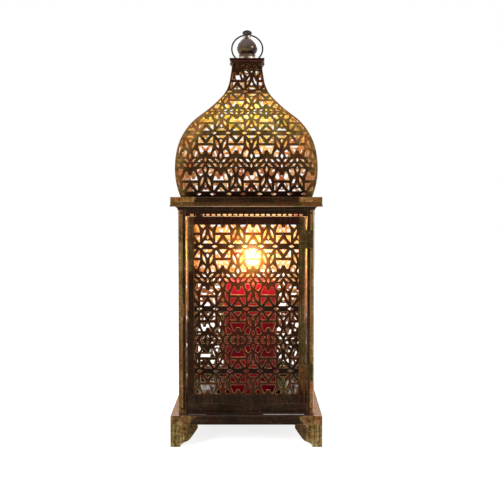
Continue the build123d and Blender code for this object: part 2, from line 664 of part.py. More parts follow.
def lid():
    """Flared square lid, with the slots and pivot holes of the bail and the stud's bore."""
    shoulder = Z_LID - LID_BRIM_H
    outer = loft([Pos(0, 0, Z_NECK) * Rectangle(2 * LID_FOOT_HALF, 2 * LID_FOOT_HALF),
                  Pos(0, 0, shoulder) * Rectangle(2 * LID_TOP_HALF, 2 * LID_TOP_HALF)])
    outer += block(-LID_TOP_HALF, LID_TOP_HALF, -LID_TOP_HALF, LID_TOP_HALF, shoulder, Z_LID)
    top_in = LID_TOP_HALF - LID_WALL
    foot_in = LID_FOOT_HALF - LID_WALL
    ceiling = Z_LID - LID_SKIN
    inner = loft([Pos(0, 0, Z_NECK - 0.5) * Rectangle(2 * foot_in, 2 * foot_in),
                  Pos(0, 0, ceiling) * Rectangle(2 * (top_in - 0.2), 2 * (top_in - 0.2))])
    body = outer - inner
    far = math.radians(BAIL_FALL)
    near = math.radians(BAIL_FORWARD)
    back = BAIL_PIVOT_BELOW * math.tan(far) + BAIL_WIRE_R / math.cos(far) + SLOT_SLACK
    front = (BAIL_PIVOT_BELOW - LID_SKIN) * math.tan(near) - BAIL_WIRE_R / math.cos(near) - SLOT_SLACK
    # where the ring is already wider than its legs as it leaves the lid, the slot is as wide
    leaves_at = (BAIL_PIVOT_BELOW + BAIL_WIRE_R * math.sin(far)) / math.cos(far)
    widest = math.sqrt(BAIL_R ** 2 - min(BAIL_CENTRE - leaves_at, BAIL_R) ** 2)
    half_wide = BAIL_WIRE_R + SLOT_SLACK
    for side in (-1, 1):
        x0, x1 = sorted((side * (BAIL_LEG_X - half_wide), side * (max(widest, BAIL_LEG_X) + half_wide)))
        body -= block(x0, x1, front, back, ceiling - 1, Z_LID + 1)
    body -= rod(-LID_TOP_HALF - 1, 0, BAIL_Z, BAIL_WIRE_R + RUN_GAP, 2 * LID_TOP_HALF + 2, "x")
    body -= rod(0, 0, ceiling - 1, STUD_R + SHANK_GAP, LID_SKIN + 2)
    return body


def neck_sleeve():
    """Square sleeve that joins the four dome sheets and the lid from inside."""
    out = NECK_HALF - DOME_T - SEAT_GAP
    return square_ring(out, out - SLEEVE_T, Z_NECK - SLEEVE_H, Z_NECK + SLEEVE_ABOVE)


def finial():
    """Turned finial with its threaded stud."""
    spline_bulb = Spline(*[Vector(r, z) for r, z in FINIAL_BULB])
    spline_cap = Spline(*[Vector(r, z) for r, z in FINIAL_CAP])
    foot_line = Polyline(*[Vector(r, z) for r, z in FINIAL_FOOT])
    axis_line = Line(Vector(0, FINIAL_CAP[-1][1]), Vector(0, 0))
    edges = foot_line.edges() + [spline_bulb.edge(), spline_cap.edge(), axis_line.edge()]
    profile = Rotation(90, 0, 0) * make_face(edges)
    turned = Pos(0, 0, Z_LID) * revolve(profile, Axis.Z)
    stud_len = LID_SKIN + NUT_H + STUD_OUT
    return turned + rod(0, 0, Z_LID - stud_len, STUD_R, stud_len + 1)


def finial_nut():
    """Hexagon nut under the lid."""
    hexagon = RegularPolygon(NUT_AF / 2, 6, major_radius=False)
    nut = Pos(0, 0, Z_LID - LID_SKIN - NUT_H) * extrude(hexagon, NUT_H, dir=(0, 0, 1))
    return nut - rod(0, 0, Z_LID - LID_SKIN - NUT_H - 1, STUD_R + SHANK_GAP, NUT_H + 2)


# ---- candle -----------------------------------------------------------------------------------
Z_FLOOR = Z_DECK + FLOOR_H
Z_CANDLE = Z_FLOOR + PAN_T + SEAT_GAP


def floor_pan():
    """Raised floor: an upturned tray between the sill's flanges."""
    edge = BODY_W / 2 - POST_T - SEAT_GAP - RAIL_FLANGE - FLOOR_GAP
    skin = block(-edge, edge, -edge, edge, Z_FLOOR - POST_T, Z_FLOOR)
    return skin + square_ring(edge, edge - POST_T, Z_DECK, Z_FLOOR - POST_T)


def candle_pan():
    """Round dish with a rolled rim and a spike."""
    dish = rod(0, 0, Z_FLOOR, PAN_R - 3, PAN_T)
    rim = revolve(Rotation(90, 0, 0) * face_of([(PAN_R - 5, 0), (PAN_R - 2.6, 0), (PAN_R, PAN_RIM_H),
                                               (PAN_R - PAN_T, PAN_RIM_H), (PAN_R - 3.4, PAN_T),
                                               (PAN_R - 5, PAN_T)]), Axis.Z)
    spike = Pos(0, 0, Z_FLOOR + PAN_T + SPIKE_H / 2) * Cone(SPIKE_R, 0.3, SPIKE_H)
    return dish + Pos(0, 0, Z_FLOOR) * rim + spike


def candle():
    """Pillar candle, dished by its melt pool, with a bore for the spike and one for the wick."""
    top = Z_CANDLE + CANDLE_H
    pool = CANDLE_R - WALL_OF_WAX
    profile = [(0, Z_CANDLE), (CANDLE_R - 1.2, Z_CANDLE), (CANDLE_R, Z_CANDLE + 1.2), (CANDLE_R, top - 2.0),
               (CANDLE_R - 0.7, top - 0.5), (CANDLE_R - 2.2, top), (CANDLE_R - 3.6, top - 0.6),
               (pool, top - POOL_DEPTH), (0, top - POOL_DEPTH - 0.6)]
    wax = revolve(Rotation(90, 0, 0) * face_of(profile), Axis.Z)
    bore_h = SPIKE_H + 1.5
    wax -= Pos(0, 0, Z_CANDLE + bore_h / 2 - 0.01) * Cone(SPIKE_R + 0.3, 0.6, bore_h)
    return wax - rod(0, 0, top - POOL_DEPTH - WICK_SUNK, WICK_R + SHANK_GAP, WICK_SUNK + 5)


def wick():
    """Braided wick, standing out of the pool with its tip bent over."""
    base = Z_CANDLE + CANDLE_H - POOL_DEPTH - WICK_SUNK + 0.2
    bend = base + WICK_SUNK + WICK_OUT * 0.6
    upright = Line(Vector(0, 0, base), Vector(0, 0, bend))
    tip = ThreePointArc(Vector(0, 0, bend), Vector(0.6, 0, bend + 2.2), Vector(2.2, 0, bend + 3.8))
    path = Wire([upright.edge(), tip.edge()])
    return sweep(Plane.XY.offset(base) * Circle(WICK_R), path=path)


# ---- write every node -------------------------------------------------------------------------
def main():
    half = BODY_W / 2
    left = foot()
    for name, turn in (("front_left", 0), ("front_right", 90), ("back_right", 180), ("back_left", 270)):
        save(Rotation(0, 0, turn) * left, "foot_" + name)

    save(plinth_tray(), "plinth_tray")
    save(floor_pan(), "floor_pan")
    aside = Pos(CANDLE_X, 0, 0)
    save(aside * candle_pan(), "candle_pan")
    save(aside * candle(), "candle")
    save(aside * wick(), "wick")

    # posts, with holes for their rivets and, where needed, for the hinges and the latch
    grip = 2 * POST_T + SEAT_GAP
    post = corner_post()
    rivets = []
    holes = []
    for x, y, z, axis in post_rivet_places():
        start = (x, y - 1, z) if axis == "y" else (x - 1, y, z)
        holes.append(rivet_hole(*start, grip + 2, axis))
        rivets.append(rivet(x, y, z, grip, axis))
    plain = post - holes
    all_rivets = []
    ring_holes = []
    for turn in (0, 90, 180, 270):
        all_rivets += [Rotation(0, 0, turn) * r for r in rivets]
        ring_holes += [Rotation(0, 0, turn) * h for h in holes]
    latch_bore = rod(LATCH_X, -half - 1, LATCH_Z, LATCH_PIN_R + SHANK_GAP, 5, "y")
    save(plain - latch_bore, "post_front_left")
    hinge_holes = [rivet_hole(x, -half - 1, z, 4) for x, z in hinge_rivet_places(1)]
    save(Rotation(0, 0, 90) * plain - hinge_holes, "post_front_right")
    save(Rotation(0, 0, 180) * plain, "post_back_right")
    save(Rotation(0, 0, 270) * plain, "post_back_left")
    save(group(all_rivets), "post_rivets")

    save(rail_ring(Z_DECK, Z_DECK + SILL_H, False) - ring_holes, "sill_ring")
    lintel = rail_ring(Z_CORNICE - LINTEL_H, Z_CORNICE, True)
    save(lintel - ring_holes - lintel_slots(), "lintel_ring")
    save(cavetto(), "cavetto_moulding")
    save(cornice(), "cornice")

    # door: frame, pierced sheet, rivets
    places = stile_rivets(DOOR_WINDOW)
    sheet = flat_filigree(DOOR_WINDOW) - [rivet_hole(x, -1, z, SHEET_T + 2) for x, z in places]
    frame = picture_frame(DOOR_W / 2, DOOR_Z0, DOOR_Z1, DOOR_WINDOW)
    frame -= [rivet_hole(x, -1, z, FRAME_T + 2) for x, z in places]
    frame -= [rivet_hole(x, -1, z, FRAME_T + 2) for x, z in hinge_rivet_places(-1)]
    door_y = -half
    save(Pos(0, door_y, 0) * frame, "door_frame")
    save(Pos(0, door_y + FRAME_T, 0) * sheet, "door_filigree", flat=True)
    save(group([rivet(x, door_y, z, FRAME_T + SHEET_T) for x, z in places]), "door_rivets")

    # fixed sides: a wider sheet in a frame that hides behind the posts
    fixed_y = -half + POST_T + SEAT_GAP
    places = rail_rivets(FIXED_WINDOW)
    sheet = flat_filigree(FIXED_WINDOW) - [rivet_hole(x, -1, z, SHEET_T + 2) for x, z in places]
    frame = picture_frame(FIXED_HALF, FIXED_Z0, FIXED_Z1, FIXED_WINDOW)
    fixed = Pos(0, fixed_y, 0) * (frame - [rivet_hole(x, -1, z, FRAME_T + 2) for x, z in places])
    pane = Pos(0, fixed_y + FRAME_T, 0) * sheet
    pane_rivets = [rivet(x, fixed_y, z, FRAME_T + SHEET_T) for x, z in places]
    for side in ("right", "back", "left"):
        turn = QUARTER_TURNS[side]
        save(Rotation(0, 0, turn) * fixed, "frame_" + side)
        save(Rotation(0, 0, turn) * pane, "filigree_" + side, flat=True)
        save(group([Rotation(0, 0, turn) * r for r in pane_rivets]), "frame_rivets_" + side)

    # hinges
    for name, zc in (("upper", HINGE_UPPER_Z), ("lower", HINGE_LOWER_Z)):
        save(hinge_leaf(zc, -1, (1,)), "hinge_" + name + "_door_leaf")
        save(hinge_leaf(zc, 1, (0, 2)), "hinge_" + name + "_post_leaf")
        save(hinge_pin(zc), "hinge_" + name + "_pin")
    face = -half - HINGE_LEAF_T
    save(group([rivet(x, face, z, HINGE_LEAF_T + FRAME_T) for x, z in hinge_rivet_places(-1)]),
         "hinge_rivets_door")
    save(group([rivet(x, face, z, HINGE_LEAF_T + POST_T) for x, z in hinge_rivet_places(1)]),
         "hinge_rivets_post")

    # latch: a turn-button on a shouldered pivot
    back_y = -half - LATCH_COLLAR_H
    bar = SlotOverall(LATCH_L, LATCH_W, rotation=90)
    lever = Pos(LATCH_X, back_y, LATCH_Z) * (Rotation(90, 0, 0) * extrude(bar, LATCH_T, dir=(0, 0, 1)))
    lever = chamfer([e for e in lever.edges() if abs(e.center().Y - (back_y - LATCH_T)) < 0.01], 0.25)
    lever -= rod(LATCH_X, back_y - 3, LATCH_Z, LATCH_PIN_R + RUN_GAP, 5, "y")
    save(lever, "latch_lever")
    head_y = back_y - LATCH_T - LATCH_RUN
    pivot = rod(LATCH_X, head_y, LATCH_Z, LATCH_PIN_R, -half + POST_T - head_y, "y")
    pivot += rod(LATCH_X, back_y, LATCH_Z, LATCH_HEAD_R, LATCH_COLLAR_H, "y")
    pivot += rod(LATCH_X, head_y - LATCH_HEAD_H, LATCH_Z, LATCH_HEAD_R, LATCH_HEAD_H, "y")
    pivot += rod(LATCH_X, -half + POST_T, LATCH_Z, LATCH_HEAD_R - 0.3, LATCH_TAIL_H, "y")
    save(pivot, "latch_pivot")

    # stops behind the door's latch side, on the two rails
    stop_y = door_y + FRAME_T + SHEET_T + STOP_GAP
    x0 = -DOOR_W / 2 + STOP_IN
    rail_in = half - 2 * POST_T - SEAT_GAP
    stops = []
    for inner, outer, way in ((DOOR_Z1 - STOP_DROP, Z_CORNICE - STOP_PAD_IN, -1),
                              (DOOR_Z0 + STOP_DROP, Z_DECK + STOP_PAD_IN, 1)):
        tongue = block(x0, x0 + STOP_W, stop_y, stop_y + POST_T, min(inner, outer), max(inner, outer))
        pad = sorted((outer, outer + way * STOP_PAD))
        stops.append(tongue + block(x0, x0 + STOP_W, -rail_in + SEAT_GAP, stop_y + POST_T, *pad))
    save(group(stops), "door_stops")

    # dome, lid, bail and finial
    panel = dome_panel()
    for side, turn in QUARTER_TURNS.items():
        save(Rotation(0, 0, turn) * panel, "dome_" + side)
    save(neck_sleeve(), "neck_sleeve")
    save(lid(), "dome_lid")
    save(bail_ring(), "bail_ring")
    save(finial(), "finial")
    save(finial_nut(), "finial_nut")


main()
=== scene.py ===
"""Dresses the candle lantern: antique bronze finishes, wax, flame, a pale studio and the camera."""
import json
import math

import bpy
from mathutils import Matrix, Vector

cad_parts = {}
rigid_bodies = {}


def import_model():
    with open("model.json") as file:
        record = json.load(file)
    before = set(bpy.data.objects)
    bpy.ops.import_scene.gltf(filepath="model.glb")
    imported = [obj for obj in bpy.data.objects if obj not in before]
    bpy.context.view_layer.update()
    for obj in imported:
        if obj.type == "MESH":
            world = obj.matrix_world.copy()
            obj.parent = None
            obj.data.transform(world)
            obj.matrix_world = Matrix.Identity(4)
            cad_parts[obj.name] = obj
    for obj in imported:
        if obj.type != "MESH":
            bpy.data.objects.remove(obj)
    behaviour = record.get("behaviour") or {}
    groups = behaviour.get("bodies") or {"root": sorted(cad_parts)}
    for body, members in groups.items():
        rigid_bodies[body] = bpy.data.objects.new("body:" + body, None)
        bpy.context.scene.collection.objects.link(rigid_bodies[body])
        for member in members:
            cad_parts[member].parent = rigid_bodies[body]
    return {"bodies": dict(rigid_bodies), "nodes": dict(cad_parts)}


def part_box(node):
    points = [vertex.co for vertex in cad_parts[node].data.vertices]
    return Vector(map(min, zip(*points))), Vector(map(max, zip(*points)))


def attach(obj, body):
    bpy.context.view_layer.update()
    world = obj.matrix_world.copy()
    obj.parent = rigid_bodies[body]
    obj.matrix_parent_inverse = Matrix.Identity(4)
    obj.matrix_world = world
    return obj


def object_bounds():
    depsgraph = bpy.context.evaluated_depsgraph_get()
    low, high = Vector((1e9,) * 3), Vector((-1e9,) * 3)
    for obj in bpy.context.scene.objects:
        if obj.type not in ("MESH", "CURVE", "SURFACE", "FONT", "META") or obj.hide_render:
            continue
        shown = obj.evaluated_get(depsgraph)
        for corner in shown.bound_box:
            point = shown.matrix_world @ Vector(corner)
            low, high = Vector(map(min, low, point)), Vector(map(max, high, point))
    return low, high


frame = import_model()
cad_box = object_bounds()
NODES = frame["nodes"]

# ---- measures taken from the frame, in metres -----------------------------------------------------
LOW = cad_box[0]
FRONT_Y = LOW.y
CANDLE_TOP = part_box("candle")[1].z
WICK_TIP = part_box("wick")[1]
DOME_LOW, DOME_HIGH = (corner.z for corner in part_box("dome_front"))
FINIAL_LOW, FINIAL_HIGH = (corner.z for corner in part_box("finial"))
LID_LOW, LID_HIGH = (corner.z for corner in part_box("dome_lid"))
CORNICE_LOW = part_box("cornice")[0].z
DOOR_FACE_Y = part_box("door_filigree")[0].y

# ---- the flame's measures, in metres --------------------------------------------------------------
FLAME_LOW = WICK_TIP.z - 0.003                  # it starts a little below the wick's tip
FLAME_HEIGHT = 0.050
FLAME_HIGH = FLAME_LOW + FLAME_HEIGHT
FLAME_HEART_Z = FLAME_LOW + 0.58 * FLAME_HEIGHT
GLARE_Z = FLAME_LOW + 0.74 * FLAME_HEIGHT       # the middle of the glare over the door's bars
FLAME_X = WICK_TIP.x - 0.0005                   # over the wick's middle
FLAME_RADIUS = 0.0078
FLAME_END_RADIUS = 0.00012                      # the mesh ends in small discs, not in points
FLAME_SWELL = 0.80                              # below 1, its widest part is under the middle
FLAME_BLUNTNESS = 0.85
FLAME_SWAY = 0.0010
FLAME_SWAY_TURN = 2.4
FLAME_RINGS = 28
FLAME_SIDES = 28

# ---- palettes -------------------------------------------------------------------------------------
# each runs from the darkest to the brightest colour, as (level, linear colour) pairs: from deep patina to
# rubbed metal, except the last two, which are painted light
DARK_BROWN = ((0.10, (0.006, 0.003, 0.002)), (0.48, (0.019, 0.009, 0.005)), (0.74, (0.055, 0.029, 0.014)),
              (0.96, (0.19, 0.115, 0.060)))
KHAKI = ((0.08, (0.042, 0.020, 0.006)), (0.40, (0.120, 0.060, 0.020)), (0.65, (0.24, 0.138, 0.056)),
         (0.95, (0.50, 0.33, 0.17)))
OCHRE = ((0.08, (0.045, 0.021, 0.005)), (0.40, (0.14, 0.068, 0.018)), (0.66, (0.26, 0.145, 0.046)),
         (0.95, (0.56, 0.36, 0.17)))
OLIVE = ((0.08, (0.028, 0.015, 0.005)), (0.40, (0.085, 0.050, 0.016)), (0.62, (0.20, 0.140, 0.048)),
         (0.92, (0.46, 0.36, 0.17)))
SOOT = ((0.10, (0.005, 0.003, 0.002)), (0.50, (0.019, 0.0105, 0.007)), (0.80, (0.048, 0.028, 0.018)),
        (0.97, (0.16, 0.11, 0.075)))
UMBER = ((0.10, (0.013, 0.007, 0.004)), (0.45, (0.042, 0.023, 0.011)), (0.70, (0.105, 0.064, 0.030)),
         (0.95, (0.30, 0.20, 0.11)))
MAROON = ((0.10, (0.009, 0.0025, 0.002)), (0.50, (0.022, 0.0070, 0.0045)), (0.80, (0.048, 0.019, 0.012)),
          (0.97, (0.15, 0.08, 0.04)))
MOSS = ((0.10, (0.014, 0.008, 0.003)), (0.48, (0.050, 0.030, 0.011)), (0.74, (0.115, 0.075, 0.031)),
        (0.97, (0.28, 0.20, 0.10)))
GUNMETAL = ((0.15, (0.030, 0.016, 0.011)), (0.45, (0.085, 0.055, 0.040)), (0.70, (0.17, 0.125, 0.105)),
            (0.95, (0.34, 0.28, 0.25)))
GLOWING = ((0.10, (0.15, 0.045, 0.014)), (0.50, (0.34, 0.135, 0.055)), (0.80, (0.46, 0.22, 0.11)),
           (0.97, (0.58, 0.33, 0.19)))
# a pale painted highlight
PALE_EDGE_HIGHLIGHT = ((0.10, (0.30, 0.20, 0.12)), (0.80, (0.68, 0.54, 0.38)))

GOLD = (0.34, 0.19, 0.075)
PALE_GOLD = (0.58, 0.38, 0.23)
COPPER = (0.42, 0.16, 0.055)
RED_COPPER = (0.36, 0.10, 0.045)
BRASS = (0.70, 0.44, 0.16)
CREAM = (0.90, 0.76, 0.50)
GLINT = (0.95, 0.90, 0.86)
BLACKENED = (0.006, 0.003, 0.002)
BAR_BLACK = (0.008, 0.005, 0.006)
CANDLE_BLUSH = (0.040, 0.010, 0.006)

# tints that drift over a finish from reddish through none to greenish, as (noise, tint) pairs
UNTINTED = (1.0, 1.0, 1.0)
BRONZE_TINTS = ((0.34, (1.10, 0.74, 0.62)), (0.47, UNTINTED), (0.53, UNTINTED), (0.66, (0.80, 0.98, 0.62)))
SHEET_TINTS = ((0.36, (1.30, 0.80, 0.62)), (0.47, UNTINTED), (0.53, UNTINTED), (0.64, (0.85, 1.10, 0.70)))

# the pierced sheets' colours outside and inside, by height: (z in metres, linear colour) pairs; the inside
# colours paint the flame's light and shade onto a brass lining, dark low down and at the neck, bright in
# between
SIDE_OUT = ((0.055, (0.095, 0.052, 0.023)), (0.090, (0.020, 0.010, 0.006)), (0.200, (0.024, 0.010, 0.006)),
            (0.262, (0.046, 0.020, 0.009)), (0.275, (0.050, 0.018, 0.008)))
SIDE_IN_FLAME_LIT = ((0.055, (0.020, 0.010, 0.006)), (0.130, (0.060, 0.034, 0.018)), (0.185, (0.40, 0.24, 0.15)),
           (0.212, (0.86, 0.66, 0.38)), (0.232, (0.90, 0.64, 0.22)), (0.262, (0.76, 0.46, 0.13)),
           (0.274, (1.0, 0.92, 0.78)))
DOME_OUT = ((0.305, (0.018, 0.008, 0.007)), (0.330, (0.044, 0.021, 0.010)), (0.372, (0.072, 0.038, 0.016)),
            (0.388, (0.13, 0.078, 0.026)), (0.402, (0.24, 0.160, 0.055)), (0.434, (0.22, 0.125, 0.048)),
            (0.448, (0.060, 0.022, 0.012)), (0.480, (0.024, 0.010, 0.006)))
DOME_IN_FLAME_LIT = ((0.305, (0.10, 0.045, 0.032)), (0.345, (0.38, 0.22, 0.13)), (0.375, (0.70, 0.42, 0.19)),
           (0.398, (0.70, 0.63, 0.11)), (0.434, (0.76, 0.60, 0.10)), (0.455, (0.12, 0.060, 0.035)),
           (0.480, (0.05, 0.025, 0.016)))

# the finial's colours from its foot (0) to its cap (1)
FINIAL_TONES = ((0.00, (0.10, 0.060, 0.030)), (0.22, (0.11, 0.065, 0.034)), (0.30, (0.050, 0.022, 0.014)),
                (0.42, (0.045, 0.026, 0.011)), (0.56, (0.055, 0.034, 0.018)), (0.68, (0.055, 0.038, 0.036)),
                (0.76, (0.12, 0.060, 0.030)), (0.84, (0.010, 0.010, 0.010)), (1.00, (0.005, 0.005, 0.005)))
# painted light on the finial: a sheen on the bulb's top, an olive reflection to its lower left, shade to its
# lower right, and pale reflections on the foot and collar
FINIAL_SHEEN = (0.115, 0.082, 0.088)
FINIAL_OLIVE_REFLECTION = (0.095, 0.054, 0.012)
FINIAL_SHADE = (0.020, 0.006, 0.012)
FINIAL_PALE_REFLECTION = (0.66, 0.56, 0.44)
FINIAL_FOOT = (0.25, 0.20)                  # shares of its height: where the foot's painted pale reflection ends
FINIAL_BULB = (0.30, 0.70, 0.05, 0.04)      # from, to, fade below, fade above
FINIAL_COLLAR = (0.74, 0.79, 0.04)

# the flame's colours from its root (0) to its tip (1)
FLAME_TONES = ((0.0, (0.45, 0.16, 0.06)), (0.20, (1.0, 0.62, 0.22)), (0.42, (1.0, 0.90, 0.58)),
               (0.72, (1.0, 0.88, 0.50)), (1.0, (1.0, 0.55, 0.14)))
FLAME_RISE = (0.22, 0.78)                   # shares of its height over which it brightens
FLAME_STRENGTH = (0.9, 14.0)

WAX_DEEP = (0.27, 0.005, 0.018)
WAX_LIGHT = (0.46, 0.008, 0.036)
# painted flame light through the wax: the top lighter and glowing, the rim paler
WAX_FLAME_LIT = (0.70, 0.012, 0.080)
WAX_LIP_LIT = (1.0, 0.45, 0.22)
WAX_GLOW = (1.0, 0.020, 0.045)
LIP_GLOW = (1.0, 0.42, 0.16)
WAX_FLAME_LIT_Z = (CANDLE_TOP - 0.050, CANDLE_TOP - 0.001)
WAX_LIP_Z = (CANDLE_TOP - 0.0022, CANDLE_TOP - 0.0004)
WAX_STRENGTH = 0.14
EMBER_Z = (WICK_TIP.z - 0.003, WICK_TIP.z)
EMBER_STRENGTH = 4.0

# ---- how the finishes run -------------------------------------------------------------------------
# cells of noise per metre on each axis
LEVEL = (24, 24, 640)           # streaks that run round the lantern
UPRIGHT = (560, 560, 22)        # streaks that run up and down
CLOUDY = (150, 150, 150)
CORNER_STREAKS = (260, 260, 130)
FOOT_STREAKS = (330, 330, 16)
BLOTCHES = (36, 36, 36)
PITS = (360, 360, 360)
BRONZE_HUES = (85, 85, 60)
SHEET_HUES = (95, 95, 95)
SHEET_GRAIN = (120, 120, 120)
SHEET_SPECKLE = (210, 210, 210)
TURNED_GRAIN = (160, 160, 160)
TURNED_RINGS = (30, 30, 2600)
WAX_CLOUDS = (45, 45, 22)
WAX_GRAIN = (420, 420, 420)

BLOTCH_SHARE = 0.25             # of the grain; the pits have their own share and the streaks the rest
BEVEL_SAMPLES = 4
WORN_COSINE = 0.86              # of the angle between true and rounded normals where an edge is fully worn
SHEET_EDGE = 0.0008             # width of the rims of the holes that are worn to gold and painted as catching the light, in metres

BRONZE_METALLIC = 0.6
DECK_METALLIC = 0.95
BARE_METALLIC = 0.1             # bare brass is nearly matt, so that it shows the flame's light evenly

# a face looks inward where its normal times its place, in metres, is below these
INWARD = (-0.02, -0.05)
# a sheet's back and the walls of its holes, by how much their normals lie along the sheet's axis
SHEET_BACK = (0.15, 0.45)
HOLE_WALL = (0.4, 0.12)

# lines round the lantern: (low z, high z, fade, colour, reach from the middle of a side)
# a painted highlight line round the lid's brim
LID_HIGHLIGHT_Z = LID_LOW + 0.35 * (LID_HIGH - LID_LOW)
LID_LINES = (
    (LID_HIGHLIGHT_Z, LID_HIGHLIGHT_Z + 0.0006, 0.0003, (0.13, 0.048, 0.036), 0.200),
)
CORNICE_LINES = (
    (0.0, CORNICE_LOW + 0.0046, 0.0020, (0.070, 0.030, 0.010), 0.200),                  # the bead
    (CORNICE_LOW - 0.0002, CORNICE_LOW + 0.0005, 0.0005, (0.66, 0.45, 0.29), 0.100),    # its lit lower edge
)

# upright strips: (low x, high x, fade, low z, high z, palette)
POST_STRIPS = (
    (-0.0776, -0.0745, 0.0008, 0.050, 0.300, DARK_BROWN),       # painted shade beside the door, on both sides
    (0.0745, 0.0776, 0.0008, 0.050, 0.300, DARK_BROWN),
    (0.0821, 0.0829, 0.0003, 0.050, 0.300, PALE_EDGE_HIGHLIGHT),        # painted highlight along the right-hand outer edge
)
DOOR_STRIPS = (
    (-0.0800, -0.0655, 0.0010, 0.225, 0.300, MOSS),             # left stile, above
    (-0.0800, -0.0655, 0.0010, 0.000, 0.185, SOOT),             # left stile, below
    (0.0655, 0.0800, 0.0010, 0.075, 0.300, MOSS),               # right stile
    (-0.0800, -0.0714, 0.0004, 0.160, 0.300, GLOWING),          # left edge, lit through the gap
    (0.0716, 0.0800, 0.0004, 0.175, 0.300, GLOWING),            # right edge, lit through the gap
    (-0.0650, 0.0650, 0.0010, 0.000, 0.062, SOOT),              # lower rail
)
STRIP_END_FADE = 0.012
STRIP_RAGGED = 0.08             # how unevenly a strip's ends run, in metres
CORNER_RAGGED = 0.05            # and how unevenly the corners' finish begins
LINE_FULL = 0.3                 # a line is at its full strength over this share of its reach

# glints on the tray's deck: (low x, high x, low y, high y, strength)
TRAY_GLINTS = (
    (0.0227, 0.0700, -0.0880, -0.0868, 1.0),
    (-0.0700, -0.0500, -0.0880, -0.0868, 0.35),
)
GLINT_FADE_LEFT = 0.004
GLINT_FADE_RIGHT = 0.002
GLINT_FADE_Y = 0.0006

# the door's and the walls' filigree: its darkest cross bars, and where its rims turn paler downwards, a
# painted highlight
BAR_HEIGHTS = (0.0917, 0.1692, 0.2445)
BAR_HALF = 0.0038
BAR_FADE = 0.0017
BAR_STRENGTH = 0.75
LIT_RIMS_Z = (0.21, 0.15)

# the webs in front of the candle turn reddish over these half widths and heights
BLUSH_X = (0.044, 0.030)
BLUSH_Z = (0.215, 0.190)

# the dome's flanks carry a painted sheen from this share of the way to the corner on, which falls with the
# height
FLANK_RISE_Z = (0.325, 0.395)
FLANK_START = (0.84, 0.63)
FLANK_FADE = 0.20
FLANK_TOP_Z = (0.446, 0.420)

# ---- studio ---------------------------------------------------------------------------------------
AMBIENT = 0.38
AMBIENT_COLOUR = (1.0, 0.97, 0.93)
WHITE = (1.0, 1.0, 1.0)
FLOOR_HALF = 4.0
FLOOR_GAP = 0.0002
FLOOR_GREY = (0.62, 0.62, 0.62)
FLOOR_GLOW = 0.80

# soft boxes: name, place, target, size in metres, watts
MIDDLE = (0.0, 0.0, 0.26)
KEY = ("key", (-1.1, -1.5, 1.2), MIDDLE, (0.9, 0.9), 27.0)
FILL = ("fill", (1.3, -1.3, 0.7), MIDDLE, (0.9, 1.2), 8.0)
SIDE = ("side", (1.25, -0.72, 0.78), (0.0, 0.0, 0.45), (0.28, 0.28), 8.0)
BACK = ("back", (0.2, 1.6, 1.3), MIDDLE, (1.2, 0.8), 12.0)

# small lamps: name, place, radius in metres, watts, colour
FLAME_LAMP = ("flame_light", (FLAME_X, 0.0, FLAME_HEART_Z), 0.006, 0.40, (1.0, 0.75, 0.38))
DOME_LAMP = ("dome_light", (0.0, 0.0, DOME_LOW + 0.55 * (DOME_HIGH - DOME_LOW)), 0.012, 0.155,
             (1.0, 0.87, 0.45))
GLARE_LAMPS = (
    ("halo_near", (FLAME_X, DOOR_FACE_Y - 0.0066, GLARE_Z), 0.004, 1.9, (1.0, 0.88, 0.40)),
    ("halo_far", (FLAME_X, DOOR_FACE_Y - 0.020, GLARE_Z), 0.004, 0.42, (1.0, 0.50, 0.16)),
)

# ---- camera ---------------------------------------------------------------------------------------
CAMERA_TO_FRONT = 0.799         # from the lens to the plinth's front edge
CAMERA_HEIGHT = 0.305
CAMERA_SIDE = 0.0113
LENS = 47.6
SENSOR = 36.0
SHIFT_X = -0.0112
SHIFT_Y = -0.0727
TILT = 1.45                     # degrees below the horizontal
CLIP_NEAR = 0.01
CLIP_FAR = 20.0


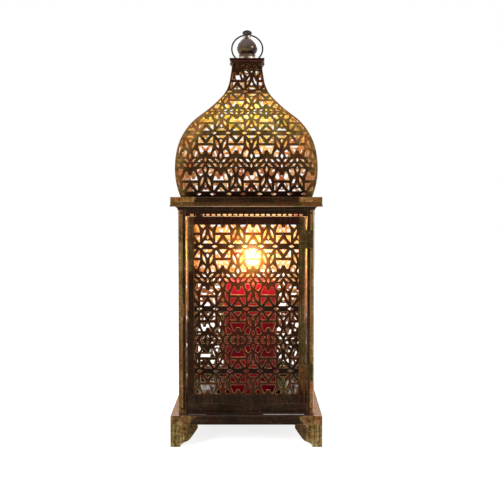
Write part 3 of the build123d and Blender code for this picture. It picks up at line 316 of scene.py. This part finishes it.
class Nodes:
    """A short way to build the node tree of a material or a world."""

    def __init__(self, owner, output="OutputMaterial"):
        owner.use_nodes = True
        self.owner = owner
        self.tree = owner.node_tree
        self.tree.nodes.clear()
        self.out = self.node(output)

    def node(self, kind, **settings):
        made = self.tree.nodes.new("ShaderNode" + kind)
        for key, value in settings.items():
            setattr(made, key, value)
        return made

    def link(self, source, target):
        self.tree.links.new(source, target)

    def feed(self, socket, value):
        """Sets a socket to a number or colour, or links another node's output to it."""
        if isinstance(value, bpy.types.NodeSocket):
            self.link(value, socket)
        elif isinstance(value, tuple) and len(value) == 3 and socket.type == "RGBA":
            socket.default_value = (*value, 1.0)
        else:
            socket.default_value = value

    def math(self, op, a, b=None, c=None, clamp=False):
        made = self.node("Math", operation=op, use_clamp=clamp)
        for i, value in enumerate((a, b, c)):
            if value is not None:
                self.feed(made.inputs[i], value)
        return made.outputs[0]

    def times(self, first, *others):
        for other in others:
            first = self.math("MULTIPLY", first, other)
        return first

    def ramp(self, value, low, high, to_low=0.0, to_high=1.0):
        """A smooth step from low to high."""
        made = self.node("MapRange", interpolation_type="SMOOTHSTEP")
        for i, v in enumerate((value, low, high, to_low, to_high)):
            self.feed(made.inputs[i], v)
        return made.outputs[0]

    def band(self, value, low, high, fade, fade_out=None):
        """1 from low to high, falling smoothly to 0 over fade below and fade_out, or else fade, above."""
        if fade_out is None:
            fade_out = fade
        return self.times(self.ramp(value, low - fade, low), self.ramp(value, high + fade_out, high))

    def share(self, value, low, high):
        """How far a value is on its way from low to high, held to 0 to 1."""
        return self.math("DIVIDE", self.math("SUBTRACT", value, low), high - low, clamp=True)

    def ragged(self, value, blotches, reach):
        """A value moved by up to half of reach either way, so that a limit set on it comes out uneven."""
        return self.math("MULTIPLY_ADD", self.math("SUBTRACT", blotches, 0.5), reach, value)

    def tones(self, value, stops):
        """The colour that (position, colour) stops give for a value."""
        made = self.node("ValToRGB")
        self.feed(made.inputs[0], value)
        keys = made.color_ramp.elements
        for i, (at, colour) in enumerate(stops):
            key = keys[i] if i < 2 else keys.new(at)
            key.position = at
            key.color = (*colour, 1.0)
        return made.outputs[0]

    def mix(self, factor, a, b, blend="MIX"):
        made = self.node("Mix", data_type="RGBA", blend_type=blend)
        self.feed(made.inputs[0], factor)
        self.feed(made.inputs[6], a)
        self.feed(made.inputs[7], b)
        return made.outputs[2]

    def tinted(self, colour, value, stops):
        """A colour multiplied by the tint that (position, tint) stops give for a value."""
        return self.mix(1.0, colour, self.tones(value, stops), blend="MULTIPLY")

    def parts(self, vector):
        split = self.node("SeparateXYZ")
        self.link(vector, split.inputs[0])
        return tuple(split.outputs)

    def place(self):
        """Object coordinates, and their three parts."""
        where = self.node("TexCoord").outputs["Object"]
        return (where, *self.parts(where))

    def object_normal(self):
        return self.parts(self.node("TexCoord").outputs["Normal"])

    def near_and_far(self, x, y):
        """The smaller and the larger of the distances from the two middle planes."""
        sizes = self.math("ABSOLUTE", x), self.math("ABSOLUTE", y)
        return self.math("MINIMUM", *sizes), self.math("MAXIMUM", *sizes)

    def noise(self, where, cells, detail=3.0, rough=0.6, shift=0.0):
        """Noise with its own number of cells per metre along each axis, about 0 to 1."""
        mapping = self.node("Mapping")
        self.link(where, mapping.inputs[0])
        mapping.inputs["Scale"].default_value = cells
        mapping.inputs["Location"].default_value = (shift, shift * 0.7, shift * 1.3)
        made = self.node("TexNoise")
        self.link(mapping.outputs[0], made.inputs["Vector"])
        made.inputs["Scale"].default_value = 1.0
        made.inputs["Detail"].default_value = detail
        made.inputs["Roughness"].default_value = rough
        return made.outputs["Fac"]

    def grain(self, where, along, shift=0.0, contrast=2.6, pitting=0.40):
        """Streaks, blotches and pits together, over about 0 to 1; then the pits and the blotches alone."""
        streaks = self.noise(where, along, detail=6.0, rough=0.7, shift=shift)
        blotches = self.noise(where, BLOTCHES, shift=shift + 3.1)
        pits = self.noise(where, PITS, rough=0.75, shift=shift + 1.7)
        total = self.times(streaks, 1.0 - BLOTCH_SHARE - pitting)
        total = self.math("MULTIPLY_ADD", blotches, BLOTCH_SHARE, total)
        total = self.math("MULTIPLY_ADD", pits, pitting, total)
        return self.math("MULTIPLY_ADD", total, contrast, 0.5 - 0.5 * contrast), pits, blotches

    def bump(self, height, strength, distance):
        made = self.node("Bump")
        made.inputs["Strength"].default_value = strength
        made.inputs["Distance"].default_value = distance
        self.link(height, made.inputs["Height"])
        return made.outputs[0]

    def edge_wear(self, radius):
        """1 on sharp edges, falling to 0 on flats, from the angle between true and rounded normals."""
        bevel = self.node("Bevel", samples=BEVEL_SAMPLES)
        bevel.inputs["Radius"].default_value = radius
        dot = self.node("VectorMath", operation="DOT_PRODUCT")
        self.link(bevel.outputs[0], dot.inputs[0])
        self.link(self.node("NewGeometry").outputs["Normal"], dot.inputs[1])
        return self.ramp(dot.outputs["Value"], 1.0, WORN_COSINE)

    def seen(self):
        """1 for the camera's own rays, and for what shows in gloss and through glass."""
        path = self.node("LightPath").outputs
        straight = self.math("MAXIMUM", path["Is Camera Ray"], path["Is Glossy Ray"])
        return self.math("MAXIMUM", straight, path["Is Transmission Ray"])

    def surface(self, **inputs):
        """Ends a material in a Principled shader with these inputs, and returns the material."""
        shader = self.node("BsdfPrincipled")
        for key, value in inputs.items():
            self.feed(shader.inputs[key.replace("_", " ")], value)
        self.link(shader.outputs[0], self.out.inputs[0])
        return self.owner


def begin_material(name):
    return Nodes(bpy.data.materials.new(name))


# ---- finishes -------------------------------------------------------------------------------------
def bronze(name, along, palette, ends=None, corners=(0.062, 0.070), edge=0.0010, wear=0.55, lines=(),
           deck=None, strips=(), glints=(), contrast=2.6, end_along=CORNER_STREAKS, lining=(COPPER, BRASS)):
    """Antique bronze: dark patina rubbed to brighter metal in streaks, pits and along its edges.

    along and end_along give cells per metre on each axis; ends is the palette beyond corners, which are
    (start, end) in metres from the middle of a side; edge is the width of the worn edges and wear is how
    bright they are; lines, strips and glints are rows as described above LID_LINES, POST_STRIPS and
    TRAY_GLINTS, some of them painted highlights and shade; deck is the colour of faces that look up, which
    are polished, and on the tray a pale painted reflection; lining is the pair of colours of faces that look
    inward.
    """
    n = begin_material(name)
    where, x, y, z = n.place()
    nx, ny, nz = n.object_normal()
    from_middle, _ = n.near_and_far(x, y)
    level, pits, blotches = n.grain(where, along, contrast=contrast)
    colour = n.tones(level, palette)
    if ends:
        other, _, _ = n.grain(where, end_along, shift=5.0, contrast=3.4, pitting=0.35)
        at_corner = n.ramp(n.ragged(from_middle, blotches, CORNER_RAGGED), *corners)
        colour = n.mix(at_corner, colour, n.tones(other, ends))
    for low, high, fade, line_colour, reach in lines:
        line = n.times(n.band(z, low, high, fade), n.ramp(from_middle, reach, reach * LINE_FULL),
                       n.ramp(level, 0.15, 0.65, 0.25, 1.0))
        colour = n.mix(line, colour, line_colour)
    for left, right, fade, low, high, strip_palette in strips:
        upright = n.band(n.ragged(z, blotches, STRIP_RAGGED), low, high, STRIP_END_FADE)
        colour = n.mix(n.times(n.band(x, left, right, fade), upright), colour, n.tones(level, strip_palette))
    worn = n.times(n.edge_wear(edge), n.ramp(level, 0.25, 0.75, 0.15, wear))
    colour = n.mix(worn, colour, GOLD)
    hue = n.noise(where, BRONZE_HUES, shift=11.0)
    colour = n.tinted(colour, hue, BRONZE_TINTS)
    roughness = n.math("MULTIPLY_ADD", pits, 0.24, 0.30)
    metal = BRONZE_METALLIC
    if deck:
        top = n.ramp(nz, 0.6, 0.9)
        colour = n.mix(top, colour, n.mix(n.ramp(level, 0.2, 1.2), deck, GOLD))
        roughness = n.times(roughness, n.ramp(top, 0.0, 1.0, 1.0, 0.22))
        metal = n.ramp(top, 0.0, 1.0, BRONZE_METALLIC, DECK_METALLIC)
        for left, right, near, far, strength in glints:
            glint = n.times(n.band(x, left, right, GLINT_FADE_LEFT, GLINT_FADE_RIGHT),
                            n.band(y, near, far, GLINT_FADE_Y), strength)
            colour = n.mix(n.times(glint, top), colour, GLINT)
            metal = n.times(metal, n.math("SUBTRACT", 1.0, glint))
    outward = n.math("ADD", n.times(nx, x), n.times(ny, y))
    colour = n.mix(n.ramp(outward, *INWARD), colour, n.mix(n.ramp(level, 0.2, 0.8), *lining))
    return n.surface(
        Base_Color=colour,
        Metallic=metal,
        Specular_IOR_Level=0.15,
        Specular_Tint=(0.70, 0.45, 0.28),
        Roughness=roughness,
        Normal=n.bump(level, 0.20, 0.0006),
    )


def pierced(name, axis, inward, outside, inside, flank_sheen=0.0, blush=0.0, bars=()):
    """Pierced sheet: dark outside with worn gold rims round its holes, which also serve as painted highlights;
    brass on its inner side, with the flame's light and shade painted into its colour.

    axis is 0 for a sheet facing X and 1 for one facing Y; inward is the sign of the inner face's normal;
    outside and inside are the colours from low to high, as (z in metres, colour) pairs, the inside ones with
    the flame's light and shade painted in; the flank value is how strong the painted sheen in ochre is on the
    parts near the lantern's corners; blush is how reddish the webs in front of the candle are; bars are the
    heights of the darkest cross bars.
    """
    n = begin_material(name)
    where, x, y, z = n.place()
    facing = n.object_normal()[axis]
    level, pits, blotches = n.grain(where, SHEET_GRAIN, shift=2.3, pitting=0.45)
    hue = n.noise(where, SHEET_HUES, detail=2.0, shift=9.0)

    def by_height(stops):
        low, high = stops[0][0], stops[-1][0]
        up = n.share(n.ragged(z, blotches, 0.05), low, high)
        return n.tones(up, [((at - low) / (high - low), colour) for at, colour in stops])

    outer = n.mix(n.ramp(level, 0.25, 0.60, 0.65, 0.0), by_height(outside), BLACKENED)
    if blush:
        middle = n.times(n.ramp(n.math("ABSOLUTE", x), *BLUSH_X), n.ramp(z, *BLUSH_Z))
        outer = n.mix(n.times(middle, blush), outer, CANDLE_BLUSH)
    for height in bars:
        bar = n.band(z, height - BAR_HALF, height + BAR_HALF, BAR_FADE)
        outer = n.mix(n.times(bar, BAR_STRENGTH), outer, BAR_BLACK)
    # worn gold on the rims of the holes, which is also their painted highlight, paler from the middle down
    rim_wear_and_highlight = n.times(n.edge_wear(SHEET_EDGE), n.ramp(level, 0.30, 0.66, 0.30, 1.0))
    outer = n.mix(rim_wear_and_highlight, outer, n.mix(n.ramp(z, *LIT_RIMS_Z), GOLD, PALE_GOLD))
    # a painted sheen in ochre on the dome's flanks, near the corners
    if flank_sheen:
        speckle = n.noise(where, SHEET_SPECKLE, detail=4.0, rough=0.75, shift=7.0)
        near, far = n.near_and_far(x, y)
        start = n.ramp(z, *FLANK_RISE_Z, *FLANK_START)
        corner = n.ramp(n.math("DIVIDE", near, far), start, n.math("ADD", start, FLANK_FADE), 0.0, flank_sheen)
        corner = n.times(corner, n.ramp(z, *FLANK_TOP_Z), n.ramp(speckle, 0.38, 0.54, 0.30, 1.0))
        outer = n.mix(corner, outer, n.tones(n.math("MULTIPLY_ADD", level, 0.9, 0.16), OCHRE))
    outer = n.tinted(outer, hue, SHEET_TINTS)

    # the inner faces: a brass lining with the flame's light and shade painted in by height
    inner = by_height(inside)
    inner = n.mix(n.ramp(hue, 0.48, 0.40, 0.0, 0.9), inner, n.mix(0.80, inner, RED_COPPER))
    inner = n.mix(n.ramp(hue, 0.53, 0.59, 0.0, 0.9), inner, n.mix(0.70, inner, CREAM))

    back = n.ramp(n.times(facing, inward), *SHEET_BACK)
    cut = n.ramp(n.math("ABSOLUTE", facing), *HOLE_WALL)
    colour = n.mix(back, outer, inner)
    colour = n.mix(cut, colour, n.mix(n.ramp(level, 0.35, 0.75), COPPER, GOLD))
    return n.surface(
        Base_Color=colour,
        Metallic=n.ramp(n.math("MAXIMUM", back, cut), 0.0, 1.0, BRONZE_METALLIC, BARE_METALLIC),
        Specular_IOR_Level=0.05,
        Specular_Tint=(0.60, 0.36, 0.22),
        Roughness=n.math("MULTIPLY_ADD", pits, 0.24, 0.32),
        Normal=n.bump(pits, 0.12, 0.0004),
    )


def turned_bronze():
    """The finial: polished gunmetal bronze with a black cap; painted reflections make it browner below the
    bulb's waist to the left and pale at the sides of its foot and collar, with a painted sheen above and
    painted shade to the lower right.
    """
    n = begin_material("turned_bronze")
    where, _, _, z = n.place()
    nx, _, nz = n.object_normal()
    up = n.share(z, FINIAL_LOW, FINIAL_HIGH)
    rings = n.noise(where, TURNED_RINGS, detail=2.0)
    level, _, blotches = n.grain(where, TURNED_GRAIN, contrast=2.4, pitting=0.25)
    colour = n.mix(n.ramp(level, 0.2, 0.8, 0.0, 0.5), n.tones(up, FINIAL_TONES), n.tones(level, GUNMETAL))

    # painted sheen, reflection and shade on the bulb, by the way its surface faces
    bulb = n.band(up, *FINIAL_BULB)
    turn = n.ragged(n.math("SUBTRACT", nx, nz), blotches, 0.5)
    leftward_reflection = n.ramp(n.math("ADD", nx, nz), 0.10, -0.65, 0.0, 0.75)
    colour = n.mix(n.times(bulb, n.ramp(turn, 0.10, -0.45, 0.0, 0.8)), colour, FINIAL_SHEEN)
    colour = n.mix(n.times(bulb, leftward_reflection), colour, FINIAL_OLIVE_REFLECTION)
    colour = n.mix(n.times(bulb, n.ramp(turn, 0.55, 0.95, 0.0, 0.9)), colour, FINIAL_SHADE)

    # painted pale reflections at the sides of the foot and collar
    foot_and_collar = n.math("MAXIMUM", n.ramp(up, *FINIAL_FOOT), n.band(up, *FINIAL_COLLAR))
    aside = n.math("ABSOLUTE", n.math("ADD", nx, 0.12))
    colour = n.mix(n.times(foot_and_collar, n.ramp(aside, 0.10, 0.50)), colour, FINIAL_PALE_REFLECTION)
    return n.surface(
        Base_Color=colour,
        Metallic=0.8,
        Specular_IOR_Level=0.5,
        Roughness=n.math("MULTIPLY_ADD", blotches, 0.20, 0.12),
        Coat_Weight=0.15,
        Coat_Roughness=0.12,
        Normal=n.bump(rings, 0.08, 0.0003),
    )


def plain_metal(name, dark, light, cells, roughness, metallic, specular=0.3):
    """A dark metal with a soft cloudy variation."""
    n = begin_material(name)
    where = n.place()[0]
    cloud = n.noise(where, (cells, cells, cells), detail=4.0)
    return n.surface(
        Base_Color=n.mix(n.ramp(cloud, 0.38, 0.68), dark, light),
        Metallic=metallic,
        Specular_IOR_Level=specular,
        Roughness=n.math("MULTIPLY_ADD", cloud, 0.12, roughness),
        Normal=n.bump(cloud, 0.05, 0.0003),
    )


def red_wax():
    """Red paraffin: cloudy and faintly waxy, with the flame's light through the wax painted in: lighter and
    glowing towards the top, and paler and glowing at its rim.
    """
    n = begin_material("red_wax")
    where, _, _, z = n.place()
    cloud = n.noise(where, WAX_CLOUDS, detail=4.0)
    grain = n.noise(where, WAX_GRAIN, detail=2.0)
    red = n.mix(n.ramp(cloud, 0.35, 0.68), WAX_DEEP, WAX_LIGHT)
    # painted light from the flame: lighter and glowing towards the top, paler at the rim
    flame_lit = n.ramp(z, *WAX_FLAME_LIT_Z)
    lip = n.ramp(z, *WAX_LIP_Z)
    colour = n.mix(n.times(flame_lit, 0.70), red, WAX_FLAME_LIT)
    return n.surface(
        Base_Color=n.mix(n.times(lip, 0.6), colour, WAX_LIP_LIT),
        Subsurface_Weight=0.25,
        Subsurface_Scale=0.006,
        Specular_IOR_Level=0.18,
        Specular_Tint=(1.0, 0.35, 0.40),
        Roughness=n.math("MULTIPLY_ADD", cloud, 0.22, 0.34),
        Emission_Color=n.mix(lip, WAX_GLOW, LIP_GLOW),
        Emission_Strength=n.times(flame_lit, flame_lit, WAX_STRENGTH),
        Normal=n.bump(n.math("MULTIPLY_ADD", grain, 0.3, cloud), 0.18, 0.0012),
    )


def charred_wick():
    """Braided black cotton with an ember at its tip."""
    n = begin_material("charred_wick")
    where, _, _, z = n.place()
    braid = n.node("TexWave", wave_type="BANDS", bands_direction="DIAGONAL")
    n.link(where, braid.inputs["Vector"])
    braid.inputs["Scale"].default_value = 420.0
    ember = n.ramp(z, *EMBER_Z)
    return n.surface(
        Base_Color=n.mix(braid.outputs["Fac"], (0.010, 0.008, 0.006), (0.05, 0.04, 0.03)),
        Roughness=0.9,
        Emission_Color=(1.0, 0.30, 0.05),
        Emission_Strength=n.times(ember, EMBER_STRENGTH),
        Normal=n.bump(braid.outputs["Fac"], 0.5, 0.0004),
    )


def flame_glow():
    """Dull at the root, white in the heart, yellow round it and orange at the tip."""
    n = begin_material("flame_glow")
    _, _, _, z = n.place()
    up = n.ramp(z, FLAME_LOW, FLAME_HIGH)
    return n.surface(
        Base_Color=(1.0, 0.8, 0.4),
        Emission_Color=n.tones(up, FLAME_TONES),
        Emission_Strength=n.ramp(up, *FLAME_RISE, *FLAME_STRENGTH),
    )


# ---- flame ----------------------------------------------------------------------------------------
def flame_width(t):
    """Radius of the flame at height t, from 0 at its root to 1 at its tip."""
    return FLAME_RADIUS * math.sin(math.pi * t ** FLAME_SWELL) ** FLAME_BLUNTNESS


def make_flame():
    verts = []
    for i in range(FLAME_RINGS + 1):
        t = i / FLAME_RINGS
        r = max(flame_width(t), FLAME_END_RADIUS)
        middle = FLAME_X + FLAME_SWAY * math.sin(FLAME_SWAY_TURN * t)
        for k in range(FLAME_SIDES):
            a = 2 * math.pi * k / FLAME_SIDES
            verts.append((middle + r * math.cos(a), r * math.sin(a), FLAME_LOW + FLAME_HEIGHT * t))
    faces = []
    for i in range(FLAME_RINGS):
        for k in range(FLAME_SIDES):
            a = i * FLAME_SIDES + k
            b = i * FLAME_SIDES + (k + 1) % FLAME_SIDES
            faces.append((a, b, b + FLAME_SIDES, a + FLAME_SIDES))
    faces.append(tuple(reversed(range(FLAME_SIDES))))
    faces.append(tuple(FLAME_RINGS * FLAME_SIDES + k for k in range(FLAME_SIDES)))
    mesh = bpy.data.meshes.new("flame")
    mesh.from_pydata(verts, [], faces)
    mesh.shade_smooth()
    flame = bpy.data.objects.new("flame", mesh)
    bpy.context.scene.collection.objects.link(flame)
    flame.data.materials.append(flame_glow())
    flame.visible_shadow = False
    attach(flame, "candle_unit")


# ---- materials onto the CAD nodes -----------------------------------------------------------------
def paint(material, *names):
    for name in names:
        slots = NODES[name].data.materials
        slots.clear()
        slots.append(material)


def nodes_named(start):
    return [name for name in NODES if name.startswith(start)]


def paint_bronze():
    paint(bronze("bronze_cornice", LEVEL, DARK_BROWN, ends=OCHRE, corners=(0.060, 0.069), lines=CORNICE_LINES,
                 deck=(0.05, 0.03, 0.02)), "cornice")
    # the tray's top faces are painted pale, a painted reflection, with painted glints on them
    paint(bronze("bronze_tray", LEVEL, SOOT, ends=KHAKI, corners=(0.066, 0.074), deck=(0.46, 0.40, 0.41),
                 glints=TRAY_GLINTS), "plinth_tray")
    paint(bronze("bronze_feet", UPRIGHT, UMBER, ends=OLIVE, corners=(0.070, 0.078), contrast=3.0,
                 end_along=FOOT_STREAKS), *nodes_named("foot_"))
    paint(bronze("bronze_posts", UPRIGHT, KHAKI, strips=POST_STRIPS),
          *nodes_named("post_front_"), *nodes_named("post_back_"))
    # the rails' inward faces: a brass lining made paler with cream, painted light from the flame
    paint(bronze("bronze_rails", LEVEL, SOOT, wear=0.3, lining=(BRASS, CREAM)),
          "sill_ring", "lintel_ring", "door_stops", "cavetto_moulding")
    paint(bronze("bronze_door", UPRIGHT, MAROON, strips=DOOR_STRIPS, edge=0.0008, wear=0.35), "door_frame")
    paint(bronze("bronze_frames", CLOUDY, DARK_BROWN, edge=0.0008), "frame_left", "frame_right", "frame_back")
    paint(bronze("bronze_hardware", CLOUDY, KHAKI, edge=0.0006), *nodes_named("latch_"), "finial_nut")
    paint(bronze("bronze_hinges", CLOUDY, MOSS, edge=0.0006), *nodes_named("hinge_"))
    paint(bronze("bronze_rivets", CLOUDY, DARK_BROWN, edge=0.0005),
          "post_rivets", "door_rivets", *nodes_named("frame_rivets_"))
    paint(bronze("bronze_lid", LEVEL, MAROON, edge=0.0006, wear=0.4, deck=(0.16, 0.10, 0.06),
                 lines=LID_LINES), "dome_lid")
    paint(bronze("bronze_sleeve", LEVEL, SOOT), "neck_sleeve")


def paint_sheets():
    for side, axis, inward in (("front", 1, 1.0), ("back", 1, -1.0), ("left", 0, 1.0), ("right", 0, -1.0)):
        at_front = side == "front"
        # the inner faces get the flame's painted light and shade, and the dome's flanks a painted sheen
        paint(pierced("filigree_" + side, axis, inward, SIDE_OUT, SIDE_IN_FLAME_LIT, bars=BAR_HEIGHTS,
                      blush=0.7 if at_front else 0.0), "door_filigree" if at_front else "filigree_" + side)
        paint(pierced("dome_" + side, axis, inward, DOME_OUT, DOME_IN_FLAME_LIT, flank_sheen=1.0), "dome_" + side)


def paint_the_rest():
    paint(turned_bronze(), "finial")
    paint(plain_metal("black_wire", (0.003, 0.003, 0.003), (0.012, 0.011, 0.010), 600, 0.38, metallic=0.3,
                      specular=0.1), "bail_ring")
    paint(plain_metal("polished_floor", (0.12, 0.10, 0.08), (0.28, 0.24, 0.20), 60, 0.06, metallic=1.0),
          "floor_pan")
    paint(plain_metal("dark_dish", (0.020, 0.012, 0.008), (0.11, 0.06, 0.03), 90, 0.16, metallic=0.8),
          "candle_pan")
    paint(red_wax(), "candle")
    paint(charred_wick(), "wick")


# ---- studio ---------------------------------------------------------------------------------------
def pale_floor():
    """White to the camera and in reflections, and still darkened by the lantern's shadow."""
    n = begin_material("pale_floor")
    diffuse = n.node("BsdfDiffuse")
    n.feed(diffuse.inputs[0], FLOOR_GREY)
    glow = n.node("Emission")
    n.link(n.times(n.seen(), FLOOR_GLOW), glow.inputs["Strength"])
    both = n.node("AddShader")
    n.link(diffuse.outputs[0], both.inputs[0])
    n.link(glow.outputs[0], both.inputs[1])
    n.link(both.outputs[0], n.out.inputs[0])
    return n.owner


def make_floor():
    mesh = bpy.data.meshes.new("floor")
    signs = ((-1, -1), (1, -1), (1, 1), (-1, 1))
    corners = [(x * FLOOR_HALF, y * FLOOR_HALF, LOW.z - FLOOR_GAP) for x, y in signs]
    mesh.from_pydata(corners, [], [(0, 1, 2, 3)])
    floor = bpy.data.objects.new("floor", mesh)
    bpy.context.scene.collection.objects.link(floor)
    floor.data.materials.append(pale_floor())


def make_world():
    """A white background, and softer light from all round."""
    world = bpy.data.worlds.new("studio")
    bpy.context.scene.world = world
    n = Nodes(world, "OutputWorld")
    mix = n.node("MixShader")
    n.link(n.seen(), mix.inputs[0])
    for socket, colour, strength in ((mix.inputs[1], AMBIENT_COLOUR, AMBIENT), (mix.inputs[2], WHITE, 1.0)):
        background = n.node("Background")
        n.feed(background.inputs[0], colour)
        n.feed(background.inputs[1], strength)
        n.link(background.outputs[0], socket)
    n.link(mix.outputs[0], n.out.inputs[0])


def new_light(name, kind, place, power, colour):
    data = bpy.data.lights.new(name, kind)
    data.energy = power
    data.color = colour
    light = bpy.data.objects.new(name, data)
    bpy.context.scene.collection.objects.link(light)
    light.location = place
    return light


def soft_box(name, place, target, size, power):
    light = new_light(name, "AREA", place, power, WHITE)
    light.data.shape = "RECTANGLE"
    light.data.size, light.data.size_y = size
    light.rotation_mode = "QUATERNION"
    light.rotation_quaternion = (Vector(target) - Vector(place)).to_track_quat("-Z", "Y")
    return light


def lamp(name, place, radius, power, colour):
    light = new_light(name, "POINT", place, power, colour)
    light.data.shadow_soft_size = radius
    return light


def shine_only_on(light, name):
    lit = bpy.data.collections.new(light.name + "_on")
    lit.objects.link(NODES[name])
    light.light_linking.receiver_collection = lit


def make_lights():
    soft_box(*KEY).visible_glossy = False
    soft_box(*FILL).visible_glossy = False
    shine_only_on(soft_box(*SIDE), "finial")
    soft_box(*BACK)

    # what the flame gives off, as a small warm lamp in its heart
    lamp(*FLAME_LAMP).parent = frame["bodies"]["candle_unit"]
    # the flame's light gathered under the dome, which has no lining to throw it back
    lamp(*DOME_LAMP).visible_glossy = False
    # the glare of the flame, which a camera sees spread over the bars in front of it
    for settings in GLARE_LAMPS:
        glare = lamp(*settings)
        glare.parent = frame["bodies"]["candle_unit"]
        glare.visible_glossy = False
        shine_only_on(glare, "door_filigree")


# ---- camera ---------------------------------------------------------------------------------------
def make_camera():
    data = bpy.data.cameras.new("camera")
    data.lens = LENS
    data.sensor_width = SENSOR
    data.shift_x = SHIFT_X
    data.shift_y = SHIFT_Y
    data.clip_start = CLIP_NEAR
    data.clip_end = CLIP_FAR
    camera = bpy.data.objects.new("camera", data)
    bpy.context.scene.collection.objects.link(camera)
    camera.location = (CAMERA_SIDE, FRONT_Y - CAMERA_TO_FRONT, CAMERA_HEIGHT)
    camera.rotation_euler = (math.radians(90.0 - TILT), 0.0, 0.0)
    bpy.context.scene.camera = camera


make_flame()
paint_bronze()
paint_sheets()
paint_the_rest()
make_floor()
make_world()
make_lights()
make_camera()
bpy.context.scene.view_settings.view_transform = "Standard"
